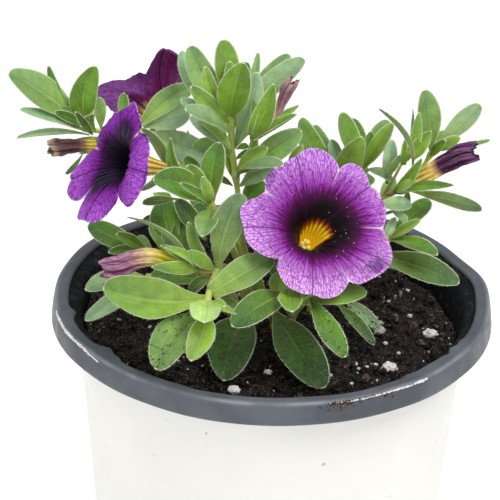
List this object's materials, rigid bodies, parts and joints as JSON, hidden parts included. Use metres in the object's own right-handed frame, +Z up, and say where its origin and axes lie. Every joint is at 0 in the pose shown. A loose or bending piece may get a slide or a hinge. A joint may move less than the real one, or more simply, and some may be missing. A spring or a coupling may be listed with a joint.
{
  "type": "potted calibrachoa",
  "caption": "Bushy trailing bedding plant with open violet trumpet flowers in a round tapered nursery pot with a thick lip.",
  "frame": {"origin": "centre of the pot's flat underside", "axes": "+Z up along the pot's axis; -Y towards the plant's best side, with the open front bloom; +X to the right of a viewer who faces that side"},
  "size_m": [0.1172, 0.108, 0.1832],
  "materials": {
    "pot": "satin",
    "mix": "matte",
    "leaf": "matte",
    "petal": "matte",
    "petal_dark": "matte",
    "petal_wilted": "matte",
    "petal_bud": "matte"
  },
  "bodies": {
    "root": {"pot": "pot", "potting_mix": "mix", "stem_centre": "leaf", "stem_left": "leaf", "stem_mid_left": "leaf", "stem_front_left": "leaf", "stem_low_left": "leaf", "stem_inner_left": "leaf", "stem_back_left": "leaf", "stem_low_right": "leaf", "stem_front_bloom": "leaf", "stem_right_back": "leaf", "stem_right": "leaf", "stem_right_low": "leaf", "stem_back_1": "leaf", "stem_back_2": "leaf", "stem_back_3": "leaf", "stem_back_4": "leaf", "corolla_front": "petal", "corolla_left": "petal", "corolla_back": "petal_dark", "corolla_wilted_left": "petal_wilted", "corolla_wilted_centre": "petal_wilted", "corolla_closed_right": "petal_dark", "corolla_bud_front": "petal_bud"}
  },
  "joints": []
}
